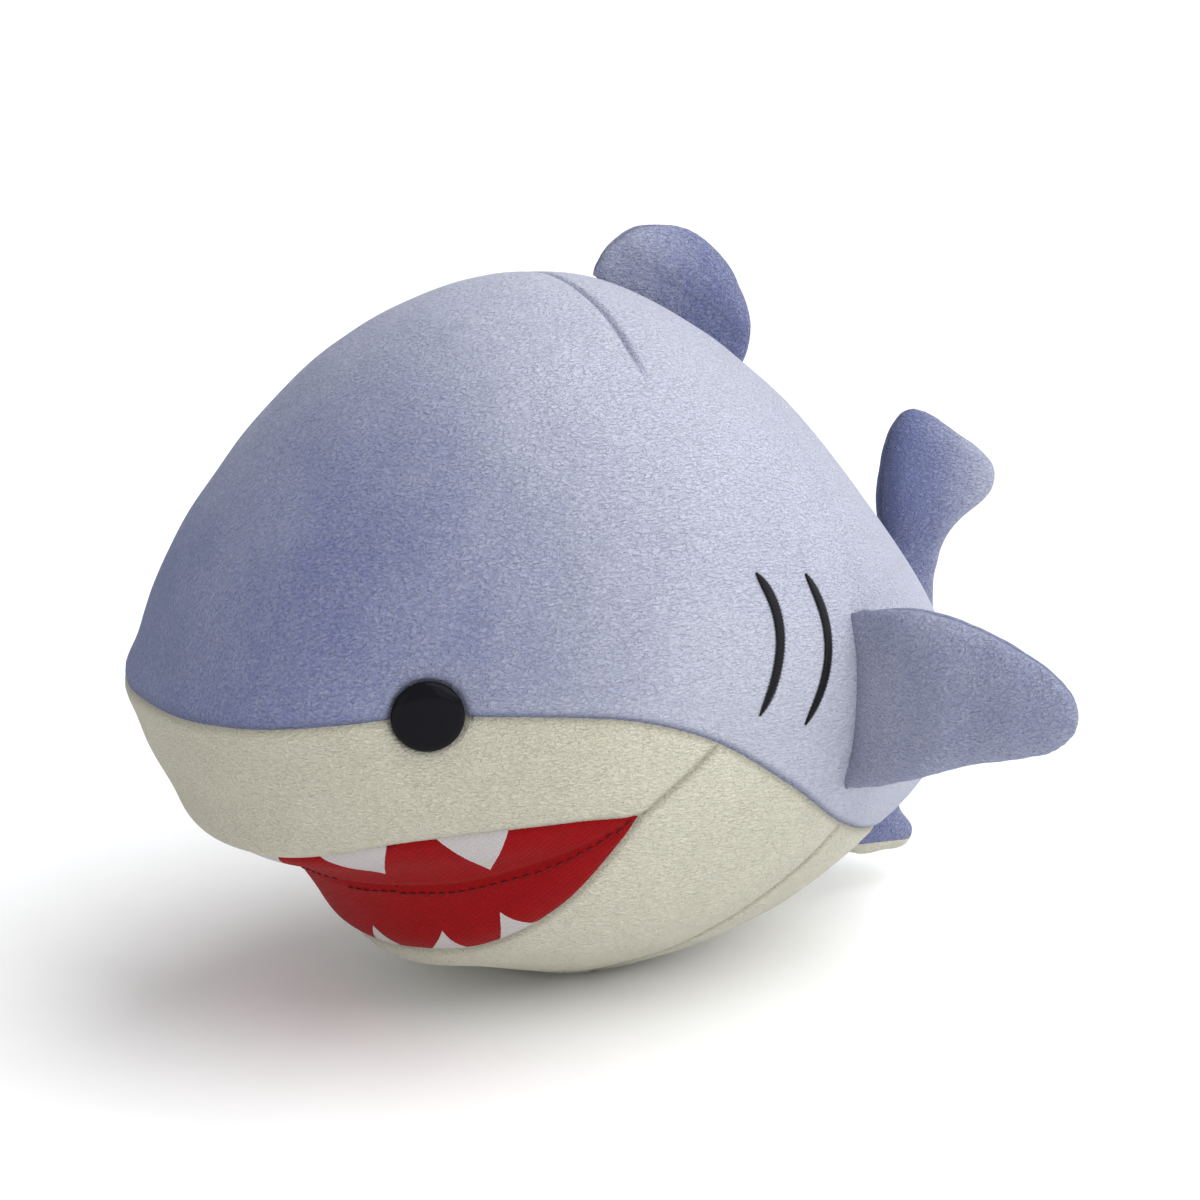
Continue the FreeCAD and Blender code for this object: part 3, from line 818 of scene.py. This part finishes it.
class Fin:
    """One stuffed fin, made from the frame's solids of it."""

    def __init__(self, prefix, nodes, across, origin, edge):
        self.prefix = prefix
        self.nodes = nodes
        self.across = Vector(across).normalized()
        self.origin = Vector(origin)
        self.edge = edge

    def remeshed(self, obj, voxel):
        """Give an object one even closed surface."""
        remesh = obj.modifiers.new("even", "REMESH")
        remesh.mode = "VOXEL"
        remesh.voxel_size = voxel
        settled(obj)

    def offset(self, place):
        """Distance of a place from the fin's middle plane."""
        return (place - self.origin).dot(self.across)

    def make(self, skin, sizes):
        """The fin as one padded piece: rounded to its edge seam, swelled and seamed."""
        bm = bmesh.new()
        for node in self.nodes:
            bm.from_mesh(frame["nodes"][node].data)
        fin = object_from(bm, f"{self.prefix}_pad")
        self.remeshed(fin, 2.2 * MM)
        rim = self.rim_points(fin, skin)
        tree = tree_of(rim)
        self.round_edges(fin, tree, sizes.fin_edge * self.edge)
        self.remeshed(fin, 2.0 * MM)
        self.smoothed(fin, 3)
        self.swell(fin, tree, 2.5 * MM)
        even = fin.modifiers.new("fine", "SUBSURF")
        even.levels = even.render_levels = 1
        settled(fin)
        self.seam_and_root(fin, tree, skin)
        return fin

    def rim_points(self, fin, skin):
        """Points on the middle plane along the fin's free edge."""
        points = []
        for vert in fin.data.vertices:
            if abs(vert.normal.dot(self.across)) < 0.4:
                flat = vert.co - self.across * self.offset(vert.co)
                if skin.tree.find_nearest(flat)[3] > 7 * MM:
                    points.append(flat)
        return points

    def round_edges(self, fin, tree, width):
        """Bring both sides together towards the edge seam."""
        for vert in fin.data.vertices:
            off = self.offset(vert.co)
            flat = vert.co - self.across * off
            t = min(tree.find(flat)[2] / width, 1.0)
            vert.co = flat + self.across * off * max(math.sqrt(1 - (1 - t) ** 2), 0.12)

    def smoothed(self, fin, times):
        """Even out the surface."""
        bm = bmesh.new()
        bm.from_mesh(fin.data)
        for _ in range(times):
            bmesh.ops.smooth_vert(bm, verts=bm.verts, factor=0.5, use_axis_x=True,
                                  use_axis_y=True, use_axis_z=True)
        bm.to_mesh(fin.data)
        bm.free()

    def swell(self, fin, tree, cap):
        """Blow the fin up a little with its edge seam held, as its stuffing does."""
        held = fin.vertex_groups.new(name="held")
        start = [v.co.copy() for v in fin.data.vertices]
        for number, place in enumerate(start):
            flat = place - self.across * self.offset(place)
            near = bump(tree.find(flat)[2], 5 * MM)
            held.add([number], near, "REPLACE")
        cloth = fin.modifiers.new("stuffing", "CLOTH")
        cloth.settings.use_pressure = True
        cloth.settings.uniform_pressure_force = 4
        cloth.settings.vertex_group_mass = "held"
        cloth.settings.effector_weights.gravity = 0
        cloth.point_cache.frame_end = 20
        scene = bpy.context.scene
        for number in range(1, 21):
            scene.frame_set(number)
        settled(fin)
        scene.frame_set(1)
        fin.vertex_groups.clear()
        for vert, place in zip(fin.data.vertices, start):
            move = vert.co - place
            if move.length > cap:
                vert.co = place + move.normalized() * cap

    def seam_and_root(self, fin, tree, skin):
        """Sew in the edge seam, add unevenness and let the root into the body."""
        mesh = fin.data
        seam_shade_mask = mesh.attributes.new("seam", "FLOAT", "POINT")
        normals = [v.normal.copy() for v in mesh.vertices]
        values = []
        for vert, outward in zip(mesh.vertices, normals):
            off = self.offset(vert.co)
            flat = vert.co - self.across * off
            edge = tree.find(flat)[2]
            _, way, _, gap = skin.tree.find_nearest(vert.co)
            root = 1 - smooth_step(2 * MM, 9 * MM, gap)
            lumps = noise.noise(vert.co * 60) + 0.6 * noise.noise(vert.co * 130)
            crease = bump(edge, 2 * MM) * bump(off, 1.6 * MM)
            vert.co += outward * (0.55 * MM * lumps - 1.1 * MM * crease)
            vert.co -= way * ROOT_SINK * root
            # Mask of painted shade in the edge seam's crease and where the root meets the body.
            values.append(max(crease, 0.9 * bump(gap - 1.0 * MM, 3.0 * MM)))
        seam_shade_mask.data.foreach_set("value", values)
        mesh.update()


class SHARK_OT_fins(bpy.types.Operator):
    """Stuff and sew on the pectoral, dorsal and tail fins"""
    bl_idname = "shark.fins"
    bl_label = "Fins"

    def execute(self, context):
        made = shop()
        sizes = context.scene.shark_sizes
        sweep = math.radians(40)
        joints = {joint["child"]: joint for joint in frame["joints"]}
        for name, side in (("left", 1), ("right", -1)):
            body = f"pectoral_fin_{name}"
            nodes = [f"pectoral_{name}_{part}"
                     for part in ("front_panel", "back_panel", "stuffing")]
            across = (side * math.sin(sweep), -math.cos(sweep), 0)
            start = Vector((side * 95, 39, 115)) * MM
            fin = Fin(f"pectoral_{name}", nodes, across, start, 1.0).make(made.skin, sizes)
            out = Vector((side * math.cos(sweep), math.sin(sweep), 0))
            self.hang(fin, made.pectoral, nodes, body, start - out * 4 * MM, start + out * 14 * MM)
        nodes = ["dorsal_left_panel", "dorsal_right_panel", "dorsal_stuffing"]
        start = Vector(joints["dorsal_fin"]["pos_m"])
        fin = Fin("dorsal", nodes, (1, 0, 0), (0, 0, 0), 0.8).make(made.skin, sizes)
        out = Vector((0, 45, 68)).normalized()
        self.hang(fin, made.dorsal, nodes, "dorsal_fin",
                  start - out * 3 * MM, start + out * 12 * MM)
        self.tail(made, sizes)
        return {"FINISHED"}

    def hang(self, fin, cloth, nodes, body, start, end):
        """Give a fin its cloth, hide its frame parts and bake its placing into its mesh."""
        finish(fin, cloth, "blue_plush")
        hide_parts(*nodes)
        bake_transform(fin)

    def tail(self, made, sizes):
        """The tail fin, with its cream gusset split off as its own piece."""
        nodes = ["tail_left_panel", "tail_right_panel", "tail_stuffing", "tail_gusset"]
        fin = Fin("tail", nodes, (1, 0, 0), (0, 0, 0), 0.45).make(made.skin, sizes)
        start, end = Vector((0, 0.143, 0.078)), Vector((0, 0.160, 0.078))
        hem, upward = Vector((0, 0.130, 0.0165)), Vector((0, 0.12, 1))
        bm = bmesh.new()
        bm.from_mesh(fin.data)
        bmesh.ops.bisect_plane(bm, geom=bm.verts[:] + bm.edges[:] + bm.faces[:], dist=1e-6,
                               plane_co=hem, plane_no=upward)
        gusset_bm = bm.copy()
        low = [f for f in bm.faces if (f.calc_center_median() - hem).dot(upward) < 0]
        bmesh.ops.delete(bm, geom=low, context="FACES")
        bm.to_mesh(fin.data)
        bm.free()
        high = [f for f in gusset_bm.faces if (f.calc_center_median() - hem).dot(upward) >= 0]
        bmesh.ops.delete(gusset_bm, geom=high, context="FACES")
        gusset = object_from(gusset_bm, "tail_gusset_pad")
        self.hang(fin, made.tail, nodes[:3], "tail_fin", start, end)
        finish(gusset, made.cream, "cream_plush")
        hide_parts("tail_gusset")
        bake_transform(gusset)


class SHARK_OT_stage(bpy.types.Operator):
    """Set the floor, the light and the camera"""
    bl_idname = "shark.stage"
    bl_label = "Stage"

    def execute(self, context):
        self.floor()
        self.lights(context)
        self.camera(context)
        return {"FINISHED"}

    def floor(self):
        """A plain pale floor."""
        bm = bmesh.new()
        bmesh.ops.create_grid(bm, x_segments=1, y_segments=1, size=60.0)
        floor = object_from(bm, "floor", smooth=False)
        paper = Cloth("floor_paper", Roughness=0.95, Specular_IOR_Level=0.1)
        grain = paper.noise(paper.place(), 40.0, 2.0)
        paper.colour(paper.blend(grain, (0.90, 0.90, 0.90), (0.93, 0.93, 0.93)))
        floor.data.materials.append(paper.material)

    def lights(self, context):
        """A wide sun from above and behind, two soft lamps and a pale room."""
        world = bpy.data.worlds.new("room")
        context.scene.world = world
        world.use_nodes = True
        background = world.node_tree.nodes["Background"]
        background.inputs["Color"].default_value = (0.96, 0.98, 1.0, 1)
        background.inputs["Strength"].default_value = 0.56
        sun = bpy.data.lights.new("daylight", "SUN")
        sun.energy = 3.1
        sun.angle = math.radians(75)
        daylight = bpy.data.objects.new("daylight", sun)
        daylight.rotation_euler = Vector((-0.36, -0.60, -0.92)).to_track_quat("-Z", "Y").to_euler()
        context.scene.collection.objects.link(daylight)
        for name, place, size, power in (
                ("side", (1.5, 0.1, 0.7), 1.0, 4.0),
                ("front", (0.5, -1.5, 0.5), 1.0, 2.0)):
            lamp = bpy.data.lights.new(name, "AREA")
            lamp.size = size
            lamp.energy = power
            light = bpy.data.objects.new(name, lamp)
            light.location = place
            way = MIDDLE - Vector(place)
            light.rotation_euler = way.to_track_quat("-Z", "Y").to_euler()
            context.scene.collection.objects.link(light)
        context.scene.view_settings.view_transform = "Standard"

    def camera(self, context):
        """The camera, a metre from the shark."""
        turn, rise = math.radians(58), math.radians(16)
        target = Vector((0, -0.017, 0.128))
        back = Vector((math.sin(turn) * math.cos(rise), -math.cos(turn) * math.cos(rise),
                       math.sin(rise)))
        lens = bpy.data.cameras.new("camera")
        lens.sensor_width = 36
        lens.lens = 83.5
        lens.shift_x = 0.027
        lens.shift_y = 0.018
        camera = bpy.data.objects.new("camera", lens)
        camera.location = target + back
        camera.rotation_euler = (-back).to_track_quat("-Z", "Y").to_euler()
        context.scene.collection.objects.link(camera)
        context.scene.camera = camera


class SHARK_PT_panel(bpy.types.Panel):
    """The shark's pieces and sizes"""
    bl_label = "Plush shark"
    bl_idname = "SHARK_PT_panel"
    bl_space_type = "VIEW_3D"
    bl_region_type = "UI"
    bl_category = "Shark"

    def draw(self, context):
        for group in (context.scene.shark_sizes, context.scene.shark_colours):
            for name in group.__annotations__:
                self.layout.prop(group, name)
        for operator in OPERATORS:
            self.layout.operator(operator.bl_idname)


OPERATORS = (SHARK_OT_body_skin, SHARK_OT_mouth, SHARK_OT_eyes, SHARK_OT_gills, SHARK_OT_dart,
             SHARK_OT_fins, SHARK_OT_stage)
CLASSES = (SharkSizes, SharkColours, *OPERATORS, SHARK_PT_panel)


def register():
    """Register the classes and their settings."""
    for item in CLASSES:
        bpy.utils.register_class(item)
    bpy.types.Scene.shark_sizes = PointerProperty(type=SharkSizes)
    bpy.types.Scene.shark_colours = PointerProperty(type=SharkColours)


def unregister():
    """Remove the settings and the classes."""
    del bpy.types.Scene.shark_colours
    del bpy.types.Scene.shark_sizes
    for item in reversed(CLASSES):
        bpy.utils.unregister_class(item)


def main():
    """Make every piece in order."""
    register()
    for step in ("body_skin", "mouth", "eyes", "gills", "dart", "fins", "stage"):
        getattr(bpy.ops.shark, step)()


if __name__ == "__main__":
    main()
